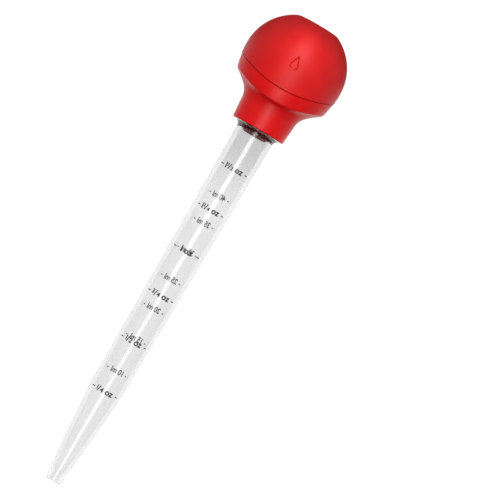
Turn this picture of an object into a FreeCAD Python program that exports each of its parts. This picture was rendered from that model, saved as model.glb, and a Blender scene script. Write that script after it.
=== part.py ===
import FreeCAD, Part
import math
import os
import re
import Sketcher

# Bulb baster standing on the flat top of its squeeze bulb, tip up.
# The origin is the centre of that flat face, +Z runs along the axis towards the tip,
# and the front, with the droplet and the ounce scale, faces -Y.
# Lengths are millimetres. Heights are distances along +Z from the flat face.

SIZES = [
    ("dome_radius", 32.7, "outside radius of the ball of the bulb"),
    ("dome_centre", 29.8, "height of the ball's centre above the flat face"),
    ("belt_arc", 59.0, "radius of the outline that draws in below the widest ring"),
    ("wall", 3.0, "wall of the bulb and of its base"),
    ("flat_round", 5.0, "rounding of the flat face's edge"),
    ("seam_arc", 66.6, "radius of the seam, seen from the front"),
    ("seam_front", 45.6, "height of the seam at the front and back"),
    ("seam_gap", 0.25, "open line between dome and base at the seam"),
    ("tongue", 2.0, "reach of the dome's tongue past the seam"),
    ("tongue_end_gap", 0.2, "gap past the end of the tongue"),
    ("tongue_side_gap", 0.2, "gap beside the tongue"),
    ("belt_inset", 0.25, "how far the base is set in from the dome's skin"),
    ("grip_arc", 59.6, "radius of the base's underside, seen from the front"),
    ("grip_front", 54.5, "height of the underside at the front and back"),
    ("grip_round", 0.8, "rounding of the belt's lower edge"),
    ("flare_end", 26.9, "radius at which the neck's flare meets the underside"),
    ("flare_arc", 12.0, "radius of the flare's outline"),
    ("flare_blend", 6.0, "fillet between the flare and the underside"),
    ("neck_top_radius", 18.4, "radius of the neck where the flare starts"),
    ("neck_top", 61.5, "height at which the flare starts"),
    ("neck_end_radius", 17.5, "radius of the neck at its open end"),
    ("neck_end", 73.3, "height of the neck's open end"),
    ("neck_round", 0.8, "rounding of the neck's open end"),
    ("throat_radius", 8.5, "hole from the bulb into the socket"),
    ("socket_radius", 12.4, "radius of the socket for the tube"),
    ("socket_floor", 57.1, "height of the socket's floor"),
    ("collar_radius", 16.4, "radius of the recess for the tube's collar"),
    ("collar_floor", 70.6, "height of the recess's floor"),
    ("fit_gap", 0.1, "running gap between tube, seal and socket"),
    ("stem_gap", 0.05, "gap between the seal's stem and the tube's bore"),
    ("seal_flange", 2.7, "thickness of the seal's flange"),
    ("seal_hole", 7.0, "radius of the hole through the seal"),
    ("nose_start", 75.2, "height at which the stem's nose begins to round"),
    ("nose_end", 77.6, "height of the stem's end"),
    ("nose_arc", 6.0, "radius of the nose's outline"),
    ("nose_lip", 0.6, "flat rim round the hole at the stem's end"),
    ("tube_radius", 12.4, "outside radius of the tube beside its collar"),
    ("collar_gap", 0.2, "gap round and under the tube's collar"),
    ("nozzle_radius", 10.45, "outside radius where the nozzle begins"),
    ("nozzle_start", 257.0, "height at which the nozzle begins"),
    ("nozzle_arc", 1200.0, "radius of the nozzle's gently bulged outline"),
    ("tip_radius", 5.3, "outside radius at the nozzle's end"),
    ("tip_start", 317.0, "height at which the tip begins to round"),
    ("tip_shoulder", 4.9, "outside radius where the end rounds over"),
    ("tip_shoulder_height", 319.6, "height where the end rounds over"),
    ("tip_round", 1.5, "rounding of the tip's end"),
    ("tip_end", 321.0, "height of the tip, the whole length"),
    ("bore_radius", 9.4, "bore of the tube at its mouth"),
    ("bore_taper_start", 78.0, "height at which the bore begins to taper"),
    ("bore_neck_radius", 8.4, "bore where the nozzle's hollow begins"),
    ("bore_neck", 251.0, "height at which the nozzle's hollow begins"),
    ("throttle_radius", 3.4, "bore where the last cone begins"),
    ("throttle_start", 311.5, "height of the last cone"),
    ("tip_bore_radius", 2.1, "radius of the straight hole at the tip"),
    ("tip_bore_start", 314.0, "height at which the straight hole begins"),
    ("notch_half", 2.1, "half the width of the arched notch"),
    ("notch_arch", 2.25, "radius of the notch's arch"),
    ("notch_spring", 320.75, "height at which the notch's arch springs"),
    ("ink_lift", 0.02, "gap under the printed marks"),
    ("ink_thickness", 0.15, "thickness of the printed marks"),
    ("ink_stroke", 0.42, "width of a printed line"),
    ("digit_height", 3.0, "height of a printed figure"),
    ("dash_reach", 9.3, "distance round the tube from a label's middle to a dash's middle"),
    ("drop_radius", 2.6, "radius of the round end of the droplet"),
    ("drop_height", 30.0, "height of the centre of the droplet's round end"),
    ("drop_length", 6.4, "distance from that centre to the droplet's point"),
    ("drop_depth", 0.8, "depth of the droplet's floor below the skin"),
]
ALIASES = {alias for alias, value, note in SIZES}

OUNCE_MARKS = [
    ("1/4 oz", 257.2), ("1/2 oz", 222.4), ("3/4 oz", 189.8),
    ("1 oz", 158.7), ("1 1/4 oz", 129.6), ("1 1/2 oz", 101.1),
]
MILLILITRE_MARKS = [
    ("10 ml", 243.8), ("15 ml", 220.7), ("20 ml", 199.3), ("25 ml", 178.4),
    ("30 ml", 158.5), ("35 ml", 138.6), ("40 ml", 119.7),
]
FRONT = -90.0
BACK = 90.0

# Each figure is a few pen strokes in a box one unit high, standing on its base line.
STROKES = {
    "0": [[(0, .2), (0, .8), (.14, 1), (.46, 1), (.6, .8), (.6, .2), (.46, 0), (.14, 0), (0, .2)]],
    "1": [[(.08, .8), (.32, 1), (.32, 0)]],
    "2": [[(0, .82), (.14, 1), (.46, 1), (.6, .82), (.6, .64), (0, 0), (.6, 0)]],
    "3": [[(0, .86), (.14, 1), (.46, 1), (.6, .84), (.6, .66), (.42, .54), (.6, .4), (.6, .16),
           (.46, 0), (.14, 0), (0, .14)]],
    "4": [[(.46, 0), (.46, 1), (0, .32), (.64, .32)]],
    "5": [[(.56, 1), (.06, 1), (.04, .56), (.42, .6), (.6, .44), (.6, .18), (.44, 0), (.14, 0), (0, .12)]],
    "/": [[(0, 0), (.4, 1)]],
    "o": [[(0, .16), (0, .5), (.12, .66), (.38, .66), (.5, .5), (.5, .16), (.38, 0), (.12, 0), (0, .16)]],
    "z": [[(0, .66), (.46, .66), (0, 0), (.46, 0)]],
    "m": [[(0, 0), (0, .66), (.26, .66), (.36, .54), (.36, 0)], [(.36, .54), (.46, .66), (.62, .66),
                                                                 (.72, .54), (.72, 0)]],
    "l": [[(0, 0), (0, 1)]],
    "-": [[(0, .4), (.6, .4)]],
}
LETTER_GAP = 0.26
WORD_GAP = 0.4


def make_sheet(doc):
    sheet = doc.addObject("Spreadsheet::Sheet", "Sizes")
    for row, (alias, value, note) in enumerate(SIZES, start=1):
        sheet.set(f"A{row}", note)
        sheet.set(f"B{row}", str(value))
        sheet.setAlias(f"B{row}", alias)
    doc.recompute()
    return sheet


def bound(text):
    """An expression on the sheet's cells, from one that names their aliases alone."""
    return re.sub(r"[a-z_]+", lambda word: "Sizes." + word[0] if word[0] in ALIASES else word[0], text)


def value_of(doc, text):
    return float(doc.Sizes.evalExpression(bound(text)))


def arc_between(start, end, radius):
    """The shorter arc from start to end. It runs anticlockwise for a positive radius."""
    middle = (start + end) * 0.5
    chord = end - start
    side = FreeCAD.Vector(-chord.y, chord.x, 0).normalize()
    reach = math.sqrt(max(radius ** 2 - (chord.Length / 2) ** 2, 0.0))
    centre = middle + side * math.copysign(reach, radius)
    first, last = (start, end) if radius > 0 else (end, start)
    angles = [math.atan2(point.y - centre.y, point.x - centre.x) for point in (first, last)]
    circle = Part.Circle(centre, FreeCAD.Vector(0, 0, 1), abs(radius))
    return Part.ArcOfCircle(circle, angles[0], angles[1])


def fix_point(sketch, geometry, end, x_text, y_text):
    """Hold one end of a line or arc at a place given by two expressions."""
    for text, kind, axis in ((x_text, "DistanceX", -2), (y_text, "DistanceY", -1)):
        if text == "0":
            sketch.addConstraint(Sketcher.Constraint("PointOnObject", geometry, end, axis))
            continue
        value = value_of(sketch.Document, text)
        index = sketch.addConstraint(Sketcher.Constraint(kind, geometry, end, value))
        sketch.setExpression(f"Constraints[{index}]", bound(text))


def draw_outline(sketch, corners):
    """A closed outline. Each corner is (x, y) or (x, y, radius), all of them expressions.

    A radius makes the stretch that ends at that corner an arc. It is anticlockwise,
    or clockwise when the text starts with a minus sign.
    """
    doc = sketch.Document
    places = [FreeCAD.Vector(value_of(doc, c[0]), value_of(doc, c[1]), 0) for c in corners]
    ends = []
    for number, corner in enumerate(corners):
        start, end = places[number - 1], places[number]
        if len(corner) == 2:
            geometry = sketch.addGeometry(Part.LineSegment(start, end), False)
            ends.append((geometry, 1, 2))
            continue
        clockwise = corner[2].startswith("-")
        size_text = corner[2].lstrip("-")
        size = value_of(doc, size_text)
        geometry = sketch.addGeometry(arc_between(start, end, -size if clockwise else size), False)
        ends.append((geometry, 2, 1) if clockwise else (geometry, 1, 2))
        index = sketch.addConstraint(Sketcher.Constraint("Radius", geometry, size))
        sketch.setExpression(f"Constraints[{index}]", bound(size_text))
    for number, corner in enumerate(corners):
        geometry, first, last = ends[number]
        following, next_first, next_last = ends[(number + 1) % len(ends)]
        sketch.addConstraint(Sketcher.Constraint("Coincident", geometry, last, following, next_first))
        fix_point(sketch, geometry, last, corner[0], corner[1])


def plane_of(body, role):
    return [plane for plane in body.Origin.OriginFeatures if plane.Role == role][0]


def new_sketch(body, name, corners, front_offset=None):
    """A sketch seen from the front, on the plane through the axis or moved towards -Y."""
    sketch = body.newObject("Sketcher::SketchObject", name)
    sketch.AttachmentSupport = [(plane_of(body, "XZ_Plane"), "")]
    sketch.MapMode = "FlatFace"
    if front_offset:
        sketch.setExpression(".AttachmentOffset.Base.z", bound(front_offset))
    body.Document.recompute()
    draw_outline(sketch, corners)
    body.Document.recompute()
    return sketch


def turned(body, kind, name, corners):
    """A revolved feature about the axis: a PartDesign Revolution or Groove."""
    sketch = new_sketch(body, name + "_outline", corners)
    feature = body.newObject("PartDesign::" + kind, name)
    feature.Profile = sketch
    feature.ReferenceAxis = (sketch, ["V_Axis"])
    feature.Angle = 360
    body.Document.recompute()
    return feature


def cut_through(body, name, corners):
    """Cut an outline seen from the front right through the body."""
    sketch = new_sketch(body, name + "_outline", corners)
    feature = body.newObject("PartDesign::Pocket", name)
    feature.Profile = sketch
    feature.Type = "ThroughAll"
    feature.SideType = "Symmetric"
    body.Document.recompute()
    return feature


def round_edges(body, name, base, radius, wanted):
    """Fillet the edges of the base feature that the test picks."""
    edges = [f"Edge{n}" for n, edge in enumerate(base.Shape.Edges, start=1) if wanted(edge)]
    feature = body.newObject("PartDesign::Fillet", name)
    feature.Base = (base, edges)
    feature.setExpression("Radius", bound(radius))
    body.Document.recompute()
    return feature


def new_body(doc, label):
    body = doc.addObject("PartDesign::Body", label)
    body.Label = label
    body.Placement = FreeCAD.Placement()
    doc.recompute()
    return body


def skin_radius(depth, height):
    """Radius of the surface this deep in the bulb's wall, past the widest ring."""
    return f"dome_radius - belt_arc + sqrt((belt_arc - {depth})^2 - ({height} - dome_centre)^2)"


def flat_radius(depth):
    """Radius at which the ball this deep in the wall meets the flat top's layer."""
    return f"sqrt((dome_radius - {depth})^2 - (dome_centre - {depth})^2)"


def dome_layer(outer, inner, end):
    """Outline of one layer of the dome's wall, between two depths, down to the height end."""
    return [
        ("0", outer),
        (flat_radius(outer), outer),
        (f"dome_radius - {outer}", "dome_centre", f"dome_radius - {outer}"),
        (skin_radius(outer, end), end, f"belt_arc - {outer}"),
        (skin_radius(inner, end), end),
        (f"dome_radius - {inner}", "dome_centre", f"-belt_arc - {inner}"),
        (flat_radius(inner), inner, f"-dome_radius - {inner}"),
        ("0", inner),
    ]


def belt_ring(outer, inner, start, end):
    """Outline of a ring of the base's belt, between two depths and two heights."""
    return [
        (skin_radius(outer, start), start),
        (skin_radius(outer, end), end, f"belt_arc - {outer}"),
        (skin_radius(inner, end), end),
        (skin_radius(inner, start), start, f"-belt_arc - {inner}"),
    ]


def beside_arc(radius, top, half_width, limit):
    """Outline between an arc that peaks on the axis at the height top and the height limit."""
    shoulder = f"{top} - {radius} + sqrt(({radius})^2 - ({half_width})^2)"
    return [
        (f"-({half_width})", limit),
        (f"{half_width}", limit),
        (f"{half_width}", shoulder),
        (f"-({half_width})", shoulder, radius),
    ]


def make_dome(doc):
    """Soft squeeze dome: flat top, ball, and a tongue that reaches into the base."""
    body = new_body(doc, "bulb_dome")
    reach = "(seam_front + tongue + wall)"
    turned(body, "Revolution", "outer_layer", dome_layer("0 * wall", "wall / 2", reach))
    cut_through(body, "seam_cut", beside_arc("seam_arc", "seam_front", "dome_radius + wall", "2 * seam_front"))
    turned(body, "Revolution", "inner_layer", dome_layer("wall / 2", "wall", reach))
    cut_through(body, "tongue_cut",
                beside_arc("seam_arc", "seam_front + tongue", "dome_radius + wall", "2 * seam_front"))
    press_droplet(body)
    rim = value_of(doc, flat_radius("0"))
    round_edges(body, "flat_edge", body.Tip, "flat_round",
                lambda edge: edge.BoundBox.ZMax < 0.01 and abs(edge.BoundBox.XMax - rim) < 0.1)
    return body


def press_droplet(body):
    """A shallow droplet in the front of the dome, its point towards the flat top."""
    tangent_x = "drop_radius * sqrt(1 - (drop_radius / drop_length)^2)"
    tangent_z = "drop_height - drop_radius * (drop_radius / drop_length)"
    corners = [
        ("0", "drop_height - drop_length"),
        (tangent_x, tangent_z),
        ("0", "drop_height + drop_radius", "drop_radius"),
        (f"-({tangent_x})", tangent_z, "drop_radius"),
    ]
    sketch = new_sketch(body, "droplet_outline", corners, "dome_radius - drop_depth")
    feature = body.newObject("PartDesign::Pocket", "droplet")
    feature.Profile = sketch
    feature.Reversed = True
    feature.setExpression("Length", bound("wall"))
    body.Document.recompute()


def make_base(doc):
    """Belt, arched underside, flared neck and the socket inside it."""
    body = new_body(doc, "bulb_base")
    add_floor(body)
    add_belt(body)
    neck = join_neck(body)
    blend_height = (value_of(doc, "neck_top - flare_arc"), value_of(doc, "neck_top"))
    blend = round_edges(body, "flare_fillet", neck, "flare_blend",
                        lambda edge: is_flare_root(doc, edge, blend_height))
    round_edges(body, "belt_fillet", blend, "grip_round", lambda edge: is_belt_edge(doc, edge))
    turned(body, "Groove", "socket", [
        ("0", "seam_front"),
        ("throat_radius", "seam_front"),
        ("throat_radius", "socket_floor"),
        ("socket_radius", "socket_floor"),
        ("socket_radius", "collar_floor"),
        ("collar_radius", "collar_floor"),
        ("collar_radius", "neck_end + wall"),
        ("0", "neck_end + wall"),
    ])
    return body


def add_floor(body):
    """Arched floor strip, trimmed to the belt's outline."""
    half = "(dome_radius - belt_inset)"
    lower = "(grip_arc - wall)"
    centre = "(grip_front - grip_arc)"
    sketch = new_sketch(body, "floor_outline", [
        (half, f"{centre} + sqrt(grip_arc^2 - {half}^2)"),
        (f"-{half}", f"{centre} + sqrt(grip_arc^2 - {half}^2)", "grip_arc"),
        (f"-{half}", f"{centre} + sqrt({lower}^2 - {half}^2)"),
        (half, f"{centre} + sqrt({lower}^2 - {half}^2)", "-grip_arc - wall"),
    ])
    floor = body.newObject("PartDesign::Pad", "floor")
    floor.Profile = sketch
    floor.SideType = "Symmetric"
    floor.setExpression("Length", bound("2 * dome_radius"))
    body.Document.recompute()
    turned(body, "Groove", "floor_trim", [
        ("2 * dome_radius", "dome_centre"),
        ("2 * dome_radius", "neck_top"),
        (skin_radius("belt_inset", "neck_top"), "neck_top"),
        (skin_radius("belt_inset", "dome_centre"), "dome_centre", "-belt_arc - belt_inset"),
    ])


def add_belt(body):
    """The belt round the floor, with the rebate that takes the dome's tongue."""
    split = "(wall / 2 - tongue_side_gap)"
    past_tongue = "seam_front + tongue + tongue_end_gap"
    wide = "dome_radius + wall"
    turned(body, "Revolution", "inner_ring", belt_ring(split, "wall", "dome_centre", "(grip_front + wall)"))
    cut_through(body, "rebate", beside_arc("seam_arc", past_tongue, wide, "0 * wall"))
    turned(body, "Revolution", "outer_ring", belt_ring("belt_inset", split, "dome_centre", "(grip_front + wall)"))
    cut_through(body, "seam_cut", beside_arc("seam_arc", "seam_front + seam_gap", wide, "0 * wall"))
    cut_through(body, "underside", beside_arc("grip_arc", "grip_front", wide, "2 * grip_front"))


def join_neck(body):
    """Fuse the neck on: a slight taper, then a flare that ends in a 45 degree cone."""
    neck = new_body(body.Document, "neck_tool")
    bend_radius = "(neck_top_radius + flare_arc * (1 - sqrt(0.5)))"
    bend_height = "(neck_top - flare_arc * sqrt(0.5))"
    cone_end = f"{bend_height} - (flare_end - {bend_radius})"
    turned(neck, "Revolution", "neck", [
        ("0", "neck_end"),
        ("neck_end_radius - neck_round", "neck_end"),
        ("neck_end_radius", "neck_end - neck_round", "-neck_round"),
        ("neck_top_radius", "neck_top"),
        (bend_radius, bend_height, "flare_arc"),
        ("flare_end", cone_end),
        ("0", cone_end),
    ])
    root = beside_arc("grip_arc - wall / 2", "grip_front - wall / 2", "dome_radius", "0 * wall")
    cut_through(neck, "neck_root", root)
    joined = body.newObject("PartDesign::Boolean", "neck_joined")
    joined.Type = "Fuse"
    joined.addObject(neck)
    body.Document.recompute()
    return joined


def is_flare_root(doc, edge, heights):
    """True for the curve where the flare leaves the underside."""
    centre = value_of(doc, "grip_front - grip_arc")
    arc = value_of(doc, "grip_arc")
    limit = value_of(doc, "flare_end")
    points = edge.discretize(9)
    on_underside = all(abs(math.hypot(p.x, p.z - centre) - arc) < 0.01 for p in points)
    inside = all(math.hypot(p.x, p.y) < limit for p in points)
    return on_underside and inside


def is_belt_edge(doc, edge):
    """True for the belt's outer lower edge."""
    centre = value_of(doc, "grip_front - grip_arc")
    arc = value_of(doc, "grip_arc")
    limit = value_of(doc, "flare_end")
    points = edge.discretize(9)
    on_underside = all(abs(math.hypot(p.x, p.z - centre) - arc) < 0.01 for p in points)
    outside = all(math.hypot(p.x, p.y) > limit for p in points)
    return on_underside and outside


def make_seal(doc):
    """Soft flanged plug: the flange fills the socket's floor, the stem fills the tube's mouth."""
    body = new_body(doc, "stem_seal")
    stem = "bore_radius - stem_gap"
    turned(body, "Revolution", "seal", [
        ("seal_hole", "socket_floor + fit_gap"),
        ("socket_radius - fit_gap", "socket_floor + fit_gap"),
        ("socket_radius - fit_gap", "socket_floor + fit_gap + seal_flange"),
        (stem, "socket_floor + fit_gap + seal_flange"),
        (stem, "nose_start"),
        ("seal_hole + nose_lip", "nose_end", "nose_arc"),
        ("seal_hole", "nose_end"),
    ])
    return body


def make_tube(doc):
    """Clear tube: spigot, collar, long taper and nozzle in one moulding, with a notched tip."""
    body = new_body(doc, "tube")
    mouth = "socket_floor + seal_flange + 2 * fit_gap"
    spigot = "socket_radius - fit_gap"
    collar = "collar_radius - collar_gap"
    turned(body, "Revolution", "moulding", [
        ("bore_radius", mouth),
        (f"{spigot} - fit_gap * 4", mouth),
        (spigot, f"{mouth} + fit_gap * 4"),
        (spigot, "collar_floor + collar_gap"),
        (collar, "collar_floor + collar_gap"),
        (collar, "neck_end + fit_gap"),
        ("tube_radius", f"neck_end + fit_gap + {collar} - tube_radius", f"-{collar} - tube_radius"),
        ("nozzle_radius", "nozzle_start"),
        ("tip_radius", "tip_start", "nozzle_arc"),
        ("tip_shoulder", "tip_shoulder_height"),
        ("tip_shoulder - tip_round", "tip_end", "tip_round"),
        ("tip_bore_radius", "tip_end"),
        ("tip_bore_radius", "tip_bore_start"),
        ("throttle_radius", "throttle_start"),
        ("bore_neck_radius", "bore_neck", "-nozzle_arc"),
        ("bore_radius", "bore_taper_start"),
    ])
    cut_through(body, "notch", [
        ("-notch_half", "tip_end + notch_half"),
        ("-notch_half", "notch_spring"),
        ("notch_half", "notch_spring", "notch_arch"),
        ("notch_half", "tip_end + notch_half"),
    ])
    return body


def ink_skin(doc):
    """Thin shell that lies just outside the tube, from which the marks are cut."""
    def place(radius, height, lift):
        return FreeCAD.Vector(value_of(doc, radius) + lift, 0, value_of(doc, height))

    lift = value_of(doc, "ink_lift")
    top = lift + value_of(doc, "ink_thickness")
    start = [place("tube_radius", "bore_taper_start", d) for d in (lift, top)]
    bend = [place("nozzle_radius", "nozzle_start", d) for d in (lift, top)]
    drop = value_of(doc, "digit_height")
    fall, run = value_of(doc, "nozzle_radius - tip_radius"), value_of(doc, "tip_start - nozzle_start")
    lean = math.atan2(fall, run) - math.asin(math.hypot(fall, run) / 2 / value_of(doc, "nozzle_arc"))
    end = [point + FreeCAD.Vector(-math.tan(lean) * drop, 0, drop) for point in bend]
    wire = Part.makePolygon([start[0], bend[0], end[0], end[1], bend[1], start[1], start[0]])
    return Part.Face(wire).revolve(FreeCAD.Vector(0, 0, 0), FreeCAD.Vector(0, 0, 1), 360)


def tube_radius_at(doc, height):
    share = (height - value_of(doc, "bore_taper_start")) / value_of(doc, "nozzle_start - bore_taper_start")
    first, last = value_of(doc, "tube_radius"), value_of(doc, "nozzle_radius")
    return first + (last - first) * min(share, 1.0)


def pen_bar(start, end, stroke, radius, azimuth, height):
    """A radial bar along one pen stroke, given on the tube's unrolled skin."""
    run = FreeCAD.Vector(end[0] - start[0], end[1] - start[1], 0)
    along = FreeCAD.Vector(run).normalize() * (stroke / 2)
    across = FreeCAD.Vector(-along.y, along.x, 0)
    first = FreeCAD.Vector(start[0], start[1], 0) - along
    last = FreeCAD.Vector(end[0], end[1], 0) + along
    corners = [first - across, last - across, last + across, first + across]
    outward = FreeCAD.Vector(math.cos(azimuth), math.sin(azimuth), 0)
    reading = FreeCAD.Vector(math.sin(azimuth), -math.cos(azimuth), 0)
    rising = FreeCAD.Vector(0, 0, -1)
    foot = outward * (radius - 1) + FreeCAD.Vector(0, 0, height)
    placed = [foot + reading * corner.x + rising * corner.y for corner in corners]
    return Part.Face(Part.makePolygon(placed + placed[:1])).extrude(outward * 2)


def glyph(doc, letter, middle, height, facing):
    """One printed figure: its strokes as one solid. middle is its distance round the tube."""
    size = value_of(doc, "digit_height")
    stroke = value_of(doc, "ink_stroke")
    radius = tube_radius_at(doc, height)
    azimuth = math.radians(facing) - middle / radius
    half = glyph_width(letter) / 2
    bars = []
    for line in STROKES[letter]:
        points = [((x - half) * size, (y - 0.5) * size) for x, y in line]
        bars += [pen_bar(p, q, stroke, radius, azimuth, height) for p, q in zip(points, points[1:])]
    return bars[0].multiFuse(bars[1:]) if len(bars) > 1 else bars[0]


def glyph_width(letter):
    return max(x for line in STROKES[letter] for x, y in line)


def label(doc, text, height, facing):
    """A line of figures centred on one side of the tube, with a dash at each end."""
    size = value_of(doc, "digit_height")
    steps = [WORD_GAP if letter == " " else glyph_width(letter) + LETTER_GAP for letter in text]
    position = -(sum(steps) - LETTER_GAP) / 2
    glyphs = []
    for letter, step in zip(text, steps):
        if letter != " ":
            middle = (position + glyph_width(letter) / 2) * size
            glyphs.append(glyph(doc, letter, middle, height, facing))
        position += step
    reach = value_of(doc, "dash_reach")
    glyphs += [glyph(doc, "-", side * reach, height, facing) for side in (-1, 1)]
    return glyphs


def make_scale(doc, name, marks, facing):
    """Printed scale: every label's figures, cut from the thin skin round the tube."""
    glyphs = [piece for text, height in marks for piece in label(doc, text, height, facing)]
    skin = ink_skin(doc)
    solids = [solid for piece in glyphs for solid in skin.common(piece).Solids]
    scale = doc.addObject("Part::Feature", name)
    scale.Label = name
    scale.Shape = Part.makeCompound(solids)
    scale.Placement = FreeCAD.Placement()
    return scale


def check(doc, pieces):
    """Stop before anything is written if a feature failed or a piece is no sound solid."""
    doc.recompute()
    for item in doc.Objects:
        if {"Invalid", "Error"} & set(item.State):
            raise RuntimeError(f"{item.Label}: {item.State}")
    for piece in pieces:
        if piece.Shape.isNull() or not piece.Shape.isValid() or not piece.Shape.Solids:
            raise RuntimeError(f"{piece.Label}: no sound solid")


def write(pieces):
    os.makedirs("parts", exist_ok=True)
    for piece in pieces:
        piece.Shape.exportStep(f"parts/{piece.Label}.step")
        print(f"{piece.Label}: {piece.Shape.Volume:.1f} mm3, {len(piece.Shape.Solids)} solids")


def main():
    doc = FreeCAD.newDocument("baster")
    make_sheet(doc)
    pieces = [
        make_dome(doc),
        make_base(doc),
        make_seal(doc),
        make_tube(doc),
        make_scale(doc, "oz_scale", OUNCE_MARKS, FRONT),
        make_scale(doc, "ml_scale", MILLILITRE_MARKS, BACK),
    ]
    check(doc, pieces)
    write(pieces)


main()
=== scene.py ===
import math

import bmesh
import bpy
from mathutils import Matrix, Vector


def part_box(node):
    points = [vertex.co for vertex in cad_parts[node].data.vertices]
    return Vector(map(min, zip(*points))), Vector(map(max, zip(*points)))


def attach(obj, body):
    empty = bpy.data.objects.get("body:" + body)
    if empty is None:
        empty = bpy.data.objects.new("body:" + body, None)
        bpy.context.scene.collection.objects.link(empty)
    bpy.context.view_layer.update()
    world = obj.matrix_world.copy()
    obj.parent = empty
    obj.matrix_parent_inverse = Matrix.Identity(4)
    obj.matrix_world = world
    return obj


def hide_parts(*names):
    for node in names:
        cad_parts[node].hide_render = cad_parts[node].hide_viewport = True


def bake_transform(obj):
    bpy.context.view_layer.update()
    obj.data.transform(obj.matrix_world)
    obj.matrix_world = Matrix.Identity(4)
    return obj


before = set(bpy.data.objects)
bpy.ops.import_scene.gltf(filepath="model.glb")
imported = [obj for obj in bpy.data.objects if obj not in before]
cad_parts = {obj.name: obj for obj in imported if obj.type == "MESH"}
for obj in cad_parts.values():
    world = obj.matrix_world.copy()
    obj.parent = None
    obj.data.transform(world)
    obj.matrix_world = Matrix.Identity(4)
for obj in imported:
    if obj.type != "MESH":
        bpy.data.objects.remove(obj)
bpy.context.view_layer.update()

# Bulb baster standing on the flat top of its bulb. Sizes are millimetres; MM turns them
# into the scene's metres. Heights run along +Z from the flat face to the tip.

MM = 0.001
DOME_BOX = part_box("bulb_dome")
BASE_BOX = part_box("bulb_base")
SEAL_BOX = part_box("stem_seal")
TUBE_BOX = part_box("tube")

# bulb
DOME_RADIUS = DOME_BOX[1].x / MM
DOME_CENTRE = 29.8
BELT_ARC = 59.0
WALL = 3.0
FLAT_ROUND = 5.0
SEAM_ARC = 66.6
SEAM_FRONT = 45.6
SEAM_GAP = 0.38
SEAM_ROUND = 0.3
TONGUE = 2.0
TONGUE_GAP = 0.2
BELT_INSET = 0.25
POLE_RING = 0.5  # first ring round the middle of the flat face

# base
GRIP_ARC = 59.6
GRIP_FRONT = 54.5
GRIP_ROUND = 0.8
FLARE_ARC = 12.0
FLARE_BLEND = 2.6
NECK_TOP_RADIUS = 18.4
NECK_TOP = 61.5
NECK_END_RADIUS = 17.5
NECK_END = BASE_BOX[1].z / MM
NECK_ROUND = 0.8
THROAT_RADIUS = 8.5
SOCKET_RADIUS = 12.4
SOCKET_FLOOR = 57.1
COLLAR_RECESS = 16.4
COLLAR_FLOOR = 70.6

# seal
SEAL_START = SEAL_BOX[0].z / MM
SEAL_END = SEAL_BOX[1].z / MM
SEAL_RADIUS = SEAL_BOX[1].x / MM
SEAL_FLANGE = 2.7
SEAL_HOLE = 7.0
STEM_RADIUS = 9.35
NOSE_START = 75.2
NOSE_LIP = 0.6
NOSE_ARC = 6.0

# tube
TUBE_START = TUBE_BOX[0].z / MM
TIP = TUBE_BOX[1].z / MM
COLLAR_RADIUS = TUBE_BOX[1].x / MM
SPIGOT_RADIUS = 12.3
SPIGOT_CHAMFER = 0.4
COLLAR_START = 70.8
COLLAR_END = 73.4
COLLAR_CHAMFER = 0.15
TUBE_RADIUS = 12.4
NOZZLE_RADIUS = 10.45
NOZZLE_START = 257.0
NOZZLE_LEAD = 3.0  # the straight taper ends this far before the nozzle's arc
NOZZLE_ARC = 1200.0
NOZZLE_FALL = 0.07
TIP_START = 317.0
TIP_RADIUS = 5.3
TIP_SHOULDER = 4.9
TIP_LENGTH = 1.4
TIP_ROUND = 1.5
BORE_RADIUS = 9.4
BORE_TAPER_START = 78.0
BORE_NECK = 251.0
BORE_NECK_RADIUS = 8.4
THROTTLE_START = 311.5
THROTTLE_RADIUS = 3.4
TIP_BORE_START = 314.0
TIP_BORE = 2.1
NOTCH_HALF = 2.1
NOTCH_ARCH = 2.25
NOTCH_SPRING = 320.75

# droplet pressed into the dome's front
DROP_HEIGHT = 30.0
DROP_RADIUS = 2.6
DROP_LENGTH = 6.4
DROP_FLOOR = 0.3
DROP_EDGE = 0.5
DROP_GROOVE = 0.32
DROP_GROOVE_WIDTH = 0.85
DROP_GROOVE_INSET = 0.2

# printed scales: the text of each mark and the height of its middle
OUNCE_MARKS = [
    ("", "1/4", 257.2), ("", "1/2", 222.4), ("", "3/4", 189.8),
    ("1", "", 158.7), ("1", "1/4", 129.6), ("1", "1/2", 101.1),
]
MILLILITRE_MARKS = [
    ("10", 243.8), ("15", 220.7), ("20", 199.3), ("25", 178.4),
    ("30", 158.5), ("35", 138.6), ("40", 119.7),
]
FIGURE_HEIGHT = 3.5
CAPITAL_SHARE = 0.7  # a figure's height over its type size
INK_SPREAD = 0.032  # how much the strokes are thickened, over the type size
DASH_REACH = 8.7
DASH_HALF = 1.1
DASH_THICK = 0.3
DASH_LEVEL = 0.4
INK_LIFT = 0.03
INK_THICKNESS = 0.04

AROUND = 256
SHARP = 35  # degrees between faces that makes an edge sharp
FRONT = math.radians(-90)
BACK = math.radians(90)


# ---------------------------------------------------------------- mesh helpers

def spread(start, end, count):
    """count + 1 values from start to end, both included."""
    return [start + (end - start) * step / count for step in range(count + 1)]


def even_turn(count):
    """Azimuths of count even steps round the axis."""
    return [2 * math.pi * step / count for step in range(count)]


def at(radius, azimuth, height):
    """A place in the scene, in metres."""
    return Vector((radius * math.cos(azimuth), radius * math.sin(azimuth), height)) * MM


def arc_points(start, end, radius, count):
    """Points after start up to end on the shorter arc, anticlockwise for a positive radius."""
    first, last = Vector(start), Vector(end)
    chord = last - first
    side = Vector((-chord.y, chord.x)).normalized()
    reach = math.sqrt(max(radius ** 2 - (chord.length / 2) ** 2, 0))
    centre = (first + last) / 2 + side * math.copysign(reach, radius)
    turn = 2 * math.asin(min(chord.length / 2 / abs(radius), 1)) * math.copysign(1, radius)
    spoke = first - centre
    return [tuple(centre + Matrix.Rotation(turn * step / count, 2) @ spoke)
            for step in range(1, count + 1)]


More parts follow.
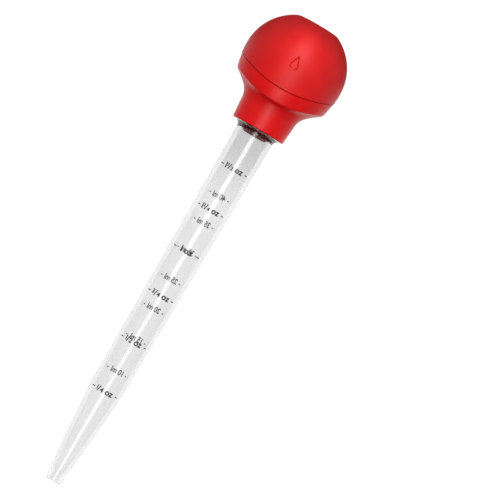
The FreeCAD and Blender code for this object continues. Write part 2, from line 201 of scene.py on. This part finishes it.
def tapered(start, end, count):
    """Points after start up to end on a straight line."""
    return [(start[0] + (end[0] - start[0]) * share, start[1] + (end[1] - start[1]) * share)
            for share in spread(0, 1, count)[1:]]


def ring_edge(start, row, step, after):
    """The two corners of one face on a ring, or the single one on a pole."""
    return [start] if len(row) == 1 else [start + step, start + after]


def skin_rows(name, rows, closed):
    """A mesh from rings of points. A row of one point is a pole. closed joins last to first."""
    mesh = bpy.data.meshes.new(name)
    points, starts = [], []
    for row in rows:
        starts.append(len(points))
        points.extend(row)
    faces = []
    pairs = list(zip(range(len(rows) - 1), range(1, len(rows))))
    if closed:
        pairs.append((len(rows) - 1, 0))
    around = max(len(row) for row in rows)
    for lower, upper in pairs:
        for step in range(around):
            after = (step + 1) % around
            low = ring_edge(starts[lower], rows[lower], step, after)
            top = ring_edge(starts[upper], rows[upper], after, step)
            faces.append(low + top)
    mesh.from_pydata(points, [], faces)
    mesh.update()
    return add_piece(name, mesh)


def smooth_shading(mesh, sharp=SHARP):
    """Smooth but for its sharp corners."""
    for face in mesh.polygons:
        face.use_smooth = True
    mesh.set_sharp_from_angle(angle=math.radians(sharp))


def add_piece(name, mesh, sharp=SHARP):
    """An object for the mesh, with its normals outward."""
    shape = bmesh.new()
    shape.from_mesh(mesh)
    bmesh.ops.recalc_face_normals(shape, faces=shape.faces)
    shape.to_mesh(mesh)
    shape.free()
    smooth_shading(mesh, sharp)
    piece = bpy.data.objects.new(name, mesh)
    bpy.context.scene.collection.objects.link(piece)
    return piece


def lathe(name, outline):
    """A closed outline of (radius, height) points turned about the axis."""
    rows = [[at(radius, azimuth, height) for azimuth in even_turn(AROUND)]
            for radius, height in outline]
    return skin_rows(name, rows, closed=True)


def soft_step(value):
    """0 below 0, 1 above 1, smooth between."""
    value = min(max(value, 0.0), 1.0)
    return value * value * (3 - 2 * value)


def smooth_max(first, second, blend):
    """The greater of two heights, rounded where they come within blend of each other."""
    near = max(blend - abs(first - second), 0) / blend
    return max(first, second) + near * near * blend / 4


# ---------------------------------------------------------------- bulb

def belt_radius(depth, height):
    """Radius of the surface this deep in the wall, past the bulb's widest ring."""
    return DOME_RADIUS - BELT_ARC + math.sqrt((BELT_ARC - depth) ** 2 - (height - DOME_CENTRE) ** 2)


def arch(radius, peak, x):
    """Height over x of an arc that peaks on the axis."""
    return peak - radius + math.sqrt(radius ** 2 - x ** 2)


def arch_on_belt(radius, peak, azimuth, depth=0.0):
    """Height at which the arched sheet cuts the surface this deep in the wall."""
    height = peak
    for _ in range(14):
        height = arch(radius, peak, belt_radius(depth, height) * math.cos(azimuth))
    return height


def seam_height(azimuth, depth=0.0):
    """Height of the seam between dome and base, this deep in the wall."""
    return arch_on_belt(SEAM_ARC, SEAM_FRONT, azimuth, depth)


def droplet_distance(across, height):
    """Distance outside the droplet's outline, negative inside. It points at the flat face."""
    side, rise = abs(across), DROP_HEIGHT - height
    lean = DROP_RADIUS / DROP_LENGTH
    slope = math.sqrt(1 - lean * lean)
    along = -side * lean + rise * slope
    if along < 0:
        return math.hypot(side, rise) - DROP_RADIUS
    if along > slope * DROP_LENGTH:
        return math.hypot(side, rise - DROP_LENGTH)
    return side * slope + rise * lean - DROP_RADIUS


def droplet_depth(azimuth, height):
    """How deep the pressed droplet is at this place on the dome's skin."""
    across = math.sin(azimuth - FRONT) * DOME_RADIUS
    if math.cos(azimuth - FRONT) < 0 or abs(across) > 2 * DROP_RADIUS:
        return 0.0
    distance = droplet_distance(across, height)
    floor = DROP_FLOOR * soft_step(0.5 - distance / DROP_EDGE)
    off = abs(distance + DROP_GROOVE_INSET)
    groove = DROP_GROOVE * soft_step(1 - off / (DROP_GROOVE_WIDTH / 2))
    return floor + groove


def dome_azimuths():
    """Even steps round the dome, and finer ones across the droplet."""
    fine = math.asin(2 * DROP_RADIUS / DOME_RADIUS)
    front = spread(FRONT - fine, FRONT + fine, 64)
    rest = spread(FRONT + fine, FRONT - fine + 2 * math.pi, AROUND)
    return front + rest[1:-1]


def ball_radius(depth, height):
    """Radius of the ball-shaped half of the dome, this deep in the wall."""
    return math.sqrt(max((DOME_RADIUS - depth) ** 2 - (height - DOME_CENTRE) ** 2, 0))


def dome_outside():
    """(radius, height) from the middle of the flat face to the widest ring."""
    inset = math.sqrt((DOME_RADIUS - FLAT_ROUND) ** 2 - (DOME_CENTRE - FLAT_ROUND) ** 2)
    reach = DOME_RADIUS / (DOME_RADIUS - FLAT_ROUND)
    foot = DOME_CENTRE - (DOME_CENTRE - FLAT_ROUND) * reach
    fine = DROP_HEIGHT - DROP_LENGTH - 1
    points = [(radius, 0.0) for radius in spread(POLE_RING, inset, 10)]
    points += arc_points((inset, 0.0), (inset * reach, foot), FLAT_ROUND, 8)
    heights = spread(foot, fine, 44)[1:] + spread(fine, DOME_CENTRE, 28)[1:]
    return points + [(ball_radius(0, height), height) for height in heights]


def make_dome():
    """Soft dome: skin with the pressed droplet, rounded seam edge, tongue and hollow inside."""
    turn = dome_azimuths()

    def pressed(azimuth, radius, height):
        return at(radius - droplet_depth(azimuth, height), azimuth, height)

    def seam_ring(depth, lift):
        """A ring this deep in the wall and this far above the seam."""
        row = []
        for azimuth in turn:
            height = seam_height(azimuth) + lift
            row.append(at(belt_radius(depth, height), azimuth, height))
        return row

    rows = [[Vector((0, 0, 0))]]
    rows += [[pressed(azimuth, radius, height) for azimuth in turn]
             for radius, height in dome_outside()]
    for share in spread(0, 1, 40)[1:]:
        row = []
        for azimuth in turn:
            end = seam_height(azimuth) - SEAM_ROUND
            height = DOME_CENTRE + (end - DOME_CENTRE) * share
            row.append(pressed(azimuth, belt_radius(0, height), height))
        rows.append(row)

    for angle in spread(0, math.pi / 2, 4)[1:]:
        lift = SEAM_ROUND * (math.sin(angle) - 1)
        rows.append(seam_ring(SEAM_ROUND * (1 - math.cos(angle)), lift))
    rows += [seam_ring(WALL / 2, 0), seam_ring(WALL / 2, TONGUE), seam_ring(WALL, TONGUE)]
    for share in spread(1, 0, 16)[1:]:
        row = []
        for azimuth in turn:
            height = DOME_CENTRE + (seam_height(azimuth) + TONGUE - DOME_CENTRE) * share
            row.append(at(belt_radius(WALL, height), azimuth, height))
        rows.append(row)
    inner = [(ball_radius(WALL, height), height) for height in spread(DOME_CENTRE, WALL, 30)[1:]]
    rows += [[at(radius, azimuth, height) for azimuth in turn] for radius, height in inner]
    rows.append([Vector((0, 0, WALL * MM))])
    dome = skin_rows("squeeze_dome", rows, closed=False)
    dome.data.materials.append(silicone("dome_red", DOME_RED, DOME_GLOSS))
    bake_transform(dome)
    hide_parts("bulb_dome")


# ---------------------------------------------------------------- base

def flare_outline(azimuth, start):
    """(radius, height) of the underside and flare from the radius start to the neck's top."""
    bend_radius = NECK_TOP_RADIUS + FLARE_ARC * (1 - math.sqrt(0.5))
    bend = NECK_TOP - FLARE_ARC * math.sqrt(0.5)
    cone = [(radius, bend - (radius - bend_radius)) for radius in spread(start, bend_radius, 26)]
    curve = [(NECK_TOP_RADIUS + FLARE_ARC * (1 - math.cos(angle)),
              NECK_TOP - FLARE_ARC * math.sin(angle))
             for angle in spread(math.pi / 4, 0, 22)[1:]]
    points = []
    for radius, height in cone + curve:
        underside = arch(GRIP_ARC, GRIP_FRONT, radius * math.cos(azimuth))
        points.append((radius, smooth_max(height, underside, FLARE_BLEND)))
    return points


def base_outline(azimuth):
    """The base's whole closed section at this azimuth, from the seam round and back inside."""
    top = seam_height(azimuth, BELT_INSET) + SEAM_GAP
    edge = arch_on_belt(GRIP_ARC, GRIP_FRONT, azimuth, BELT_INSET)
    points = []
    for angle in spread(0, math.pi / 2, 4):
        height = top + SEAM_ROUND * (1 - math.sin(angle))
        depth = BELT_INSET + SEAM_ROUND * (1 - math.cos(math.pi / 2 - angle))
        points.append((belt_radius(depth, height), height))
    points += [(belt_radius(BELT_INSET, height), height)
               for height in spread(top + SEAM_ROUND, edge - GRIP_ROUND, 14)[1:]]
    corner = Vector((belt_radius(BELT_INSET, edge), edge))
    side = Vector(points[-1])
    inset = corner.x - GRIP_ROUND
    under = Vector((inset, arch(GRIP_ARC, GRIP_FRONT, inset * math.cos(azimuth))))
    for share in spread(0, 1, 6)[1:]:
        bend = side.lerp(corner, share).lerp(corner.lerp(under, share), share)
        points.append(tuple(bend))
    points += flare_outline(azimuth, inset)[1:]
    points += tapered((NECK_TOP_RADIUS, NECK_TOP), (NECK_END_RADIUS, NECK_END - NECK_ROUND), 6)
    points += arc_points(points[-1], (NECK_END_RADIUS - NECK_ROUND, NECK_END), NECK_ROUND, 5)
    hollow_top = arch(GRIP_ARC - WALL, GRIP_FRONT - WALL, THROAT_RADIUS * math.cos(azimuth))
    points += [
        (COLLAR_RECESS, NECK_END), (COLLAR_RECESS, COLLAR_FLOOR), (SOCKET_RADIUS, COLLAR_FLOOR),
        (SOCKET_RADIUS, SOCKET_FLOOR), (THROAT_RADIUS, SOCKET_FLOOR), (THROAT_RADIUS, hollow_top),
    ]
    rebate = seam_height(azimuth, WALL / 2) + TONGUE + TONGUE_GAP
    corner_height = arch_on_belt(GRIP_ARC - WALL, GRIP_FRONT - WALL, azimuth, WALL)
    inner = belt_radius(WALL, corner_height)
    points += [(radius, arch(GRIP_ARC - WALL, GRIP_FRONT - WALL, radius * math.cos(azimuth)))
               for radius in spread(THROAT_RADIUS, inner, 10)[1:]]
    points.append((belt_radius(WALL, rebate), rebate))
    ledge = WALL / 2 - TONGUE_GAP
    points.append((belt_radius(ledge, rebate), rebate))
    points.append((belt_radius(ledge, top), top))
    return points


def make_base():
    """Belt, arched underside, flare, neck and the socket inside, as one skin."""
    outlines = [base_outline(azimuth) for azimuth in even_turn(AROUND)]
    rows = [[at(radius, azimuth, height)
             for azimuth, (radius, height) in zip(even_turn(AROUND), row)]
            for row in zip(*outlines)]
    base = skin_rows("grip_base", rows, closed=True)
    base.data.materials.append(silicone("base_red", BASE_RED, BASE_GLOSS))
    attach(base, "base")
    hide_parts("bulb_base")


# ---------------------------------------------------------------- seal and tube

def make_seal():
    """Flanged plug whose rounded nose fills the tube's mouth."""
    flange_end = SEAL_START + SEAL_FLANGE
    outline = [(SEAL_HOLE, SEAL_START), (SEAL_RADIUS, SEAL_START), (SEAL_RADIUS, flange_end),
               (STEM_RADIUS, flange_end), (STEM_RADIUS, NOSE_START)]
    outline += arc_points(outline[-1], (SEAL_HOLE + NOSE_LIP, SEAL_END), NOSE_ARC, 10)
    outline.append((SEAL_HOLE, SEAL_END))
    seal = lathe("plug_seal", outline)
    # The seal's red is much darker than the other silicone: painted shade for the dim hollow inside
    # the neck.
    seal.data.materials.append(silicone("seal_red_painted_shade", SEAL_SHADED_RED, SEAL_GLOSS))
    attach(seal, "seal")
    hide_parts("stem_seal")


def tube_outline():
    """The tube's closed section: outside from the mouth to the tip, and the bore back."""
    collar_curve = COLLAR_RADIUS - TUBE_RADIUS
    points = [
        (BORE_RADIUS, TUBE_START), (SPIGOT_RADIUS - SPIGOT_CHAMFER, TUBE_START),
        (SPIGOT_RADIUS, TUBE_START + SPIGOT_CHAMFER), (SPIGOT_RADIUS, COLLAR_START),
        (COLLAR_RADIUS - COLLAR_CHAMFER, COLLAR_START),
        (COLLAR_RADIUS, COLLAR_START + COLLAR_CHAMFER),
        (COLLAR_RADIUS, COLLAR_END - COLLAR_CHAMFER),
        (COLLAR_RADIUS - COLLAR_CHAMFER, COLLAR_END),
    ]
    points += arc_points(points[-1], (TUBE_RADIUS, COLLAR_END + collar_curve), -collar_curve, 14)
    collar_top = (TUBE_RADIUS, points[-1][1])
    points += tapered(collar_top, (NOZZLE_RADIUS, NOZZLE_START - NOZZLE_LEAD), 24)
    points += arc_points((NOZZLE_RADIUS, NOZZLE_START), (TIP_RADIUS, TIP_START), NOZZLE_ARC, 24)
    points.append((TIP_SHOULDER, TIP - TIP_LENGTH))
    points += arc_points(points[-1], (TIP_SHOULDER - TIP_ROUND, TIP), TIP_ROUND, 8)
    points += [(TIP_BORE, TIP), (TIP_BORE, TIP_BORE_START), (THROTTLE_RADIUS, THROTTLE_START)]
    points += arc_points(points[-1], (BORE_NECK_RADIUS, BORE_NECK), -NOZZLE_ARC, 24)
    points += tapered((BORE_NECK_RADIUS, BORE_NECK), (BORE_RADIUS, BORE_TAPER_START), 24)
    return points


def notch_cutter():
    """A bar along Y whose arched end is the notch in the tip."""
    profile = [(-NOTCH_HALF, TIP + 2), (-NOTCH_HALF, NOTCH_SPRING)]
    profile += arc_points(profile[-1], (NOTCH_HALF, NOTCH_SPRING), -NOTCH_ARCH, 24)
    profile.append((NOTCH_HALF, TIP + 2))
    count = len(profile)
    points = [Vector((x, y, z)) * MM for y in (-10, 10) for x, z in profile]
    faces = [[step, (step + 1) % count, count + (step + 1) % count, count + step]
             for step in range(count)]
    faces += [list(range(count))[::-1], list(range(count, 2 * count))]
    mesh = bpy.data.meshes.new("notch_cutter")
    mesh.from_pydata(points, [], faces)
    return add_piece("notch_cutter", mesh)


def cut(piece, cutter):
    """Take the cutter's shape out of the piece, for good."""
    step = piece.modifiers.new("notch", "BOOLEAN")
    step.operation = "DIFFERENCE"
    step.solver = "EXACT"
    step.object = cutter
    graph = bpy.context.evaluated_depsgraph_get()
    mesh = bpy.data.meshes.new_from_object(piece.evaluated_get(graph))
    piece.modifiers.clear()
    piece.data = mesh
    smooth_shading(mesh)
    bpy.data.objects.remove(cutter)


def make_tube():
    """Clear tube, from the spigot in the socket to the notched tip."""
    tube = lathe("clear_tube", tube_outline())
    cut(tube, notch_cutter())
    tube.data.materials.append(clear_plastic())
    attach(tube, "tube")
    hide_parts("tube")


# ---------------------------------------------------------------- printed scales

def tube_skin(height):
    """Outside radius of the tube at this height."""
    start = COLLAR_END + COLLAR_RADIUS - TUBE_RADIUS
    if height < NOZZLE_START:
        taper = NOZZLE_RADIUS - TUBE_RADIUS
        return TUBE_RADIUS + taper * (height - start) / (NOZZLE_START - start)
    return NOZZLE_RADIUS - NOZZLE_FALL * (height - NOZZLE_START)


def figure(text, size):
    """A flat mesh of the text on its baseline, and its least and greatest x."""
    curve = bpy.data.curves.new("figure", "FONT")
    curve.body = text
    curve.size = size
    curve.resolution_u = 4
    curve.extrude = INK_THICKNESS / 2
    curve.offset = size * INK_SPREAD
    holder = bpy.data.objects.new("figure", curve)
    bpy.context.scene.collection.objects.link(holder)
    graph = bpy.context.evaluated_depsgraph_get()
    mesh = bpy.data.meshes.new_from_object(holder.evaluated_get(graph))
    bpy.data.objects.remove(holder)
    xs = [point.co.x for point in mesh.vertices]
    return mesh, min(xs), max(xs)


def figure_row(parts):
    """Points and faces of a centred row. Each part is (text, height, raise, gap after)."""
    points, faces, pen = [], [], 0.0
    for text, tall, lift, gap in parts:
        mesh, left, right = figure(text, tall / CAPITAL_SHARE)
        offset = len(points)
        points += [(point.co.x - left + pen, point.co.y + lift, point.co.z)
                   for point in mesh.vertices]
        faces += [[offset + index for index in face.vertices] for face in mesh.polygons]
        pen += right - left
        bpy.data.meshes.remove(mesh)
        pen += gap
    width = pen - parts[-1][3]
    return [(x - width / 2, y, z) for x, y, z in points], faces


def dash(middle):
    """A short printed line, as points and faces."""
    corners = [(-DASH_HALF, -DASH_THICK), (DASH_HALF, -DASH_THICK),
               (DASH_HALF, DASH_THICK), (-DASH_HALF, DASH_THICK)]
    points = [(middle + x, FIGURE_HEIGHT * DASH_LEVEL + y, z)
              for z in (-INK_THICKNESS / 2, INK_THICKNESS / 2) for x, y in corners]
    sides = [[step, (step + 1) % 4, 4 + (step + 1) % 4, 4 + step] for step in range(4)]
    return points, [[3, 2, 1, 0], [4, 5, 6, 7]] + sides


def wrap(points, height, facing):
    """Lay flat points on the tube, reading upright when the bulb is up."""
    placed = []
    for x, y, z in points:
        level = height + FIGURE_HEIGHT / 2 - y
        skin = tube_skin(level)
        placed.append(at(skin + INK_LIFT + z, facing - x / skin, level))
    return placed


def fraction_parts(whole, fraction):
    """The figures of an ounce mark."""
    parts = []
    if whole:
        parts.append((whole, FIGURE_HEIGHT, 0, 0.5 if fraction else 1.6))
    if fraction:
        over, under = fraction.split("/")
        small = FIGURE_HEIGHT * (0.66 if whole else 0.8)
        parts.append((over, small, FIGURE_HEIGHT - small, 0.1))
        parts.append(("/", FIGURE_HEIGHT, 0, 0.1))
        parts.append((under, small, 0, 1.4))
    parts.append(("oz", FIGURE_HEIGHT * 1.05, 0, 0))
    return parts


def make_scale(name, node, rows, facing):
    """One printed scale: every mark's figures and two dashes, wrapped on the tube."""
    points, faces = [], []
    for parts, height in rows:
        pieces = [figure_row(parts), dash(-DASH_REACH), dash(DASH_REACH)]
        for flat, flat_faces in pieces:
            offset = len(points)
            points += wrap(flat, height, facing)
            faces += [[offset + index for index in face] for face in flat_faces]
    mesh = bpy.data.meshes.new(name)
    mesh.from_pydata(points, [], faces)
    scale = add_piece(name, mesh, sharp=30)
    scale.data.materials.append(printing_ink())
    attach(scale, "tube")
    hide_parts(node)


def make_scales():
    """Ounces on the front and millilitres on the back."""
    ounces = [(fraction_parts(whole, fraction), height) for whole, fraction, height in OUNCE_MARKS]
    make_scale("ounce_marks", "oz_scale", ounces, FRONT)
    litres = [([(text, FIGURE_HEIGHT, 0, 1.2), ("ml", FIGURE_HEIGHT, 0, 0)], height)
              for text, height in MILLILITRE_MARKS]
    make_scale("millilitre_marks", "ml_scale", litres, BACK)


# ---------------------------------------------------------------- materials

DOME_RED = (0.56, 0.001, 0.002)
BASE_RED = (0.6, 0.0003, 0.0015)
# Seal red: painted shade, darkened well below the dome and base reds for the dim hollow inside the
# neck.
SEAL_SHADED_RED = (0.20, 0.004, 0.006)
DOME_GLOSS = 0.44
BASE_GLOSS = 0.37
SEAL_GLOSS = 0.4
SILICONE_SHINE = 0.31
PLASTIC_INDEX = 1.54
# Frosted rim band at the mouth; its colour is lifted there as a painted highlight.
RIM_START = COLLAR_END - 0.9
RIM_END = COLLAR_END - 0.4
# The tube's tint is darker below these heights, towards the bulb: painted shade.
SHADE_FADE_START = 78
SHADE_FADE_END = 125


def new_material(name):
    """A material with nodes, its node tree and its shader."""
    material = bpy.data.materials.new(name)
    material.use_nodes = True
    tree = material.node_tree
    shader = tree.nodes["Principled BSDF"]
    return material, tree, shader


def object_noise(tree, scale, detail, roughness=0.5):
    """A noise that is fixed to the object."""
    place = tree.nodes.new("ShaderNodeTexCoord")
    noise = tree.nodes.new("ShaderNodeTexNoise")
    noise.inputs["Scale"].default_value = scale
    noise.inputs["Detail"].default_value = detail
    noise.inputs["Roughness"].default_value = roughness
    tree.links.new(place.outputs["Object"], noise.inputs["Vector"])
    return noise.outputs["Fac"]


def ranged(tree, source, low, high):
    """The source stretched to run from low to high."""
    node = tree.nodes.new("ShaderNodeMapRange")
    node.inputs["From Min"].default_value = 0.3
    node.inputs["From Max"].default_value = 0.7
    node.inputs["To Min"].default_value = low
    node.inputs["To Max"].default_value = high
    tree.links.new(source, node.inputs["Value"])
    return node.outputs["Result"]


def silicone(name, red, gloss):
    """Satin silicone: faint mottling, a fine moulded grain and slightly uneven gloss."""
    material, tree, shader = new_material(name)
    mottle = object_noise(tree, 90, 4)
    tint = tree.nodes.new("ShaderNodeMix")
    tint.data_type = "RGBA"
    tint.inputs["A"].default_value = (red[0] * 0.93, red[1], red[2], 1)
    tint.inputs["B"].default_value = (red[0] * 1.05, red[1] * 1.5, red[2] * 1.3, 1)
    tree.links.new(ranged(tree, mottle, 0, 1), tint.inputs["Factor"])
    tree.links.new(tint.outputs["Result"], shader.inputs["Base Color"])
    uneven = object_noise(tree, 260, 3)
    tree.links.new(ranged(tree, uneven, gloss - 0.04, gloss + 0.05), shader.inputs["Roughness"])
    grain = object_noise(tree, 5200, 2, 0.6)
    bump = tree.nodes.new("ShaderNodeBump")
    bump.inputs["Strength"].default_value = 0.12
    bump.inputs["Distance"].default_value = 0.00006
    tree.links.new(grain, bump.inputs["Height"])
    tree.links.new(bump.outputs["Normal"], shader.inputs["Normal"])
    shader.inputs["Specular IOR Level"].default_value = SILICONE_SHINE
    return material


def clear_plastic():
    """Clear moulded plastic with faint flow marks, a darker tint towards the bulb as painted shade,
    and a frosted rim at the mouth whose lighter colour is a painted highlight.
    """
    material, tree, shader = new_material("clear_moulding")
    place = tree.nodes.new("ShaderNodeTexCoord")
    axes = tree.nodes.new("ShaderNodeSeparateXYZ")
    tree.links.new(place.outputs["Object"], axes.inputs["Vector"])
    height = axes.outputs["Z"]
    flow = ranged(tree, object_noise(tree, 45, 3), -0.012, 0.012)
    start, end = RIM_START * MM, RIM_END * MM
    # Rim band: colour lifted by 0.15, a painted highlight for the bright line at the mouth; the
    # flow noise added to it is real.
    rim = math_step(tree, "ADD", faded(tree, height, start, end, 0.15, 0), flow)
    # Darker tint towards the bulb: painted shade.
    painted_mouth_shade = faded(tree, height, SHADE_FADE_START * MM, SHADE_FADE_END * MM, 0.77, 0.9)
    clear = math_step(tree, "ADD", painted_mouth_shade, rim)
    tint = tree.nodes.new("ShaderNodeCombineColor")
    for channel, share in (("Red", 0.995), ("Green", 0.993), ("Blue", 1.0)):
        tree.links.new(math_step(tree, "MULTIPLY", clear, share), tint.inputs[channel])
    tree.links.new(tint.outputs["Color"], shader.inputs["Base Color"])
    tree.links.new(faded(tree, height, start, end, 0.4, 0.07), shader.inputs["Roughness"])
    tree.links.new(faded(tree, height, start, end, 0.7, 1.0), shader.inputs["Transmission Weight"])
    shader.inputs["IOR"].default_value = PLASTIC_INDEX
    return material


def printing_ink():
    """Dark screen-printed ink, a little uneven."""
    material, tree, shader = new_material("print_ink")
    patch = object_noise(tree, 1500, 3)
    tint = tree.nodes.new("ShaderNodeMix")
    tint.data_type = "RGBA"
    tint.inputs["A"].default_value = (0.012, 0.012, 0.013, 1)
    tint.inputs["B"].default_value = (0.035, 0.035, 0.037, 1)
    tree.links.new(ranged(tree, patch, 0, 1), tint.inputs["Factor"])
    tree.links.new(tint.outputs["Result"], shader.inputs["Base Color"])
    shader.inputs["Roughness"].default_value = 0.6
    return material


# ---------------------------------------------------------------- studio

LENGTH = TIP * MM
VIEW_WIDTH = 0.95 * LENGTH
VIEW_DISTANCE = 2.0
LEAN = math.radians(30.26)
AIM_ALONG = 0.4325 * LENGTH
AIM_SIDE = -0.1025 * LENGTH
SENSOR = 36.0
FLOOR_HALF = 40.0
WINDOW_TURN = math.radians(1.5)
WINDOW_HALF = math.radians(12)
WINDOW_SOFT = math.radians(9)
WINDOW_GLOW = 3.6
WALL_FRONT = -1.0
WALL_BACK = 0.35
ROOM_DIM = 0.22
CLEAR_SIDE = 0.72
CLEAR_BACK = 0.5
FLOOR_DIM = 0.9
CEILING_DIM = 0.35
GLOSS_FRONT = 0.1
GLOSS_BACK = 0.95
GLOSS_DIM = 0.02
ROOM_BRIGHT = 1.03
PLAIN_WHITE = 1.03
FLOOR_WINDOW_START = 0.02
FLOOR_WINDOW_END = 0.06


def make_camera():
    """Square on to the axis, rolled so that the bulb is up and the tube leans down to the left."""
    lens = bpy.data.cameras.new("camera")
    lens.sensor_width = SENSOR
    lens.lens = SENSOR * VIEW_DISTANCE / VIEW_WIDTH
    lens.clip_end = 200
    camera = bpy.data.objects.new("camera", lens)
    right = Vector((-math.cos(LEAN), 0, -math.sin(LEAN)))
    up = Vector((math.sin(LEAN), 0, -math.cos(LEAN)))
    turn = Matrix((right, up, right.cross(up))).transposed().to_4x4()
    camera.matrix_world = Matrix.Translation((AIM_SIDE, -VIEW_DISTANCE, AIM_ALONG)) @ turn
    bpy.context.scene.collection.objects.link(camera)
    bpy.context.scene.camera = camera


def math_step(tree, operation, first, second=None):
    """One sum. Each part is a socket or a number."""
    node = tree.nodes.new("ShaderNodeMath")
    node.operation = operation
    for number, value in enumerate((first, second)):
        if isinstance(value, (int, float)):
            node.inputs[number].default_value = value
        elif value is not None:
            tree.links.new(value, node.inputs[number])
    return node.outputs["Value"]


def faded(tree, source, start, end, before, after):
    """before where the source is under start, after where it is over end, smooth between."""
    node = tree.nodes.new("ShaderNodeMapRange")
    node.interpolation_type = "SMOOTHSTEP"
    node.inputs["From Min"].default_value = start
    node.inputs["From Max"].default_value = end
    node.inputs["To Min"].default_value = before
    node.inputs["To Max"].default_value = after
    tree.links.new(source, node.inputs["Value"])
    return node.outputs["Result"]


def front_glow(tree, x, y):
    """A tall soft window in front of the object, bright for directions near -Y."""
    turn = math_step(tree, "ARCTAN2", x, math_step(tree, "MULTIPLY", y, -1.0))
    off = math_step(tree, "ABSOLUTE", math_step(tree, "ADD", turn, WINDOW_TURN))
    return faded(tree, off, WINDOW_HALF - WINDOW_SOFT, WINDOW_HALF + WINDOW_SOFT, WINDOW_GLOW, 0.0)


def ray_kind(tree, kind):
    """1 for rays of this kind, 0 for the rest."""
    return tree.nodes.new("ShaderNodeLightPath").outputs[kind]


def blend_values(tree, factor, first, second):
    """first where the factor is 0, second where it is 1."""
    node = tree.nodes.new("ShaderNodeMix")
    for name, value in (("A", first), ("B", second)):
        if isinstance(value, (int, float)):
            node.inputs[name].default_value = value
        else:
            tree.links.new(value, node.inputs[name])
    tree.links.new(factor, node.inputs["Factor"])
    return node.outputs["Result"]


def make_room():
    """A pale studio: white behind the object, dim in front but for one tall soft window."""
    world = bpy.data.worlds.new("room")
    world.use_nodes = True
    bpy.context.scene.world = world
    tree = world.node_tree
    place = tree.nodes.new("ShaderNodeTexCoord")
    axes = tree.nodes.new("ShaderNodeSeparateXYZ")
    tree.links.new(place.outputs["Generated"], axes.inputs["Vector"])
    window = math_step(tree, "MULTIPLY", front_glow(tree, axes.outputs["X"], axes.outputs["Y"]),
                       faded(tree, axes.outputs["Z"], 0.75, 0.95, 1.0, 0.0))
    walls = faded(tree, axes.outputs["Y"], WALL_FRONT, WALL_BACK, ROOM_DIM, ROOM_BRIGHT)
    ceiling = faded(tree, axes.outputs["Z"], 0.3, 0.7, 1.0, CEILING_DIM)
    matt = math_step(tree, "MULTIPLY", walls, ceiling)
    gloss = faded(tree, axes.outputs["Y"], GLOSS_FRONT, GLOSS_BACK, GLOSS_DIM, ROOM_BRIGHT)
    wall = blend_values(tree, ray_kind(tree, "Is Glossy Ray"), matt, gloss)
    glow = math_step(tree, "ADD", window, wall)
    depth = math_step(tree, "ABSOLUTE", axes.outputs["Y"])
    through = faded(tree, depth, 0.0, CLEAR_BACK, CLEAR_SIDE, ROOM_BRIGHT)
    glow = blend_values(tree, ray_kind(tree, "Is Transmission Ray"), glow, through)
    glow = blend_values(tree, ray_kind(tree, "Is Camera Ray"), glow, PLAIN_WHITE)
    tree.links.new(glow, tree.nodes["Background"].inputs["Strength"])
    tree.nodes["Background"].inputs["Color"].default_value = (1, 1, 1, 1)


def make_floor():
    """A plain white floor that glows enough to stay pale."""
    mesh = bpy.data.meshes.new("floor")
    corners = [(-FLOOR_HALF, -FLOOR_HALF, 0), (FLOOR_HALF, -FLOOR_HALF, 0),
               (FLOOR_HALF, FLOOR_HALF, 0), (-FLOOR_HALF, FLOOR_HALF, 0)]
    mesh.from_pydata(corners, [], [(0, 1, 2, 3)])
    floor = bpy.data.objects.new("floor", mesh)
    bpy.context.scene.collection.objects.link(floor)
    material, tree, shader = new_material("floor_white")
    place = tree.nodes.new("ShaderNodeTexCoord")
    axes = tree.nodes.new("ShaderNodeSeparateXYZ")
    tree.links.new(place.outputs["Object"], axes.inputs["Vector"])
    matt = faded(tree, axes.outputs["Y"], -0.05, 0.15, FLOOR_DIM, ROOM_BRIGHT)
    gloss = faded(tree, axes.outputs["Y"], 0.0, 0.4, GLOSS_DIM, ROOM_BRIGHT)
    wall = blend_values(tree, ray_kind(tree, "Is Glossy Ray"), matt, gloss)
    wall = blend_values(tree, ray_kind(tree, "Is Transmission Ray"), wall, ROOM_BRIGHT)
    away = math_step(tree, "MULTIPLY", axes.outputs["Y"], -1.0)
    window = math_step(tree, "MULTIPLY", front_glow(tree, axes.outputs["X"], axes.outputs["Y"]),
                       faded(tree, away, FLOOR_WINDOW_START, FLOOR_WINDOW_END, 0.0, 1.0))
    glow = math_step(tree, "ADD", window, wall)
    glow = blend_values(tree, ray_kind(tree, "Is Camera Ray"), glow, PLAIN_WHITE)
    tree.links.new(glow, shader.inputs["Emission Strength"])
    shader.inputs["Emission Color"].default_value = (1, 1, 1, 1)
    shader.inputs["Base Color"].default_value = (0.02, 0.02, 0.02, 1)
    shader.inputs["Roughness"].default_value = 0.9
    shader.inputs["Specular IOR Level"].default_value = 0.0
    floor.data.materials.append(material)


def set_view():
    """Plain colours, with no film look."""
    view = bpy.context.scene.view_settings
    view.view_transform = "Standard"
    view.look = "None"


make_camera()
make_room()
make_floor()
set_view()
make_dome()
make_base()
make_seal()
make_tube()
make_scales()
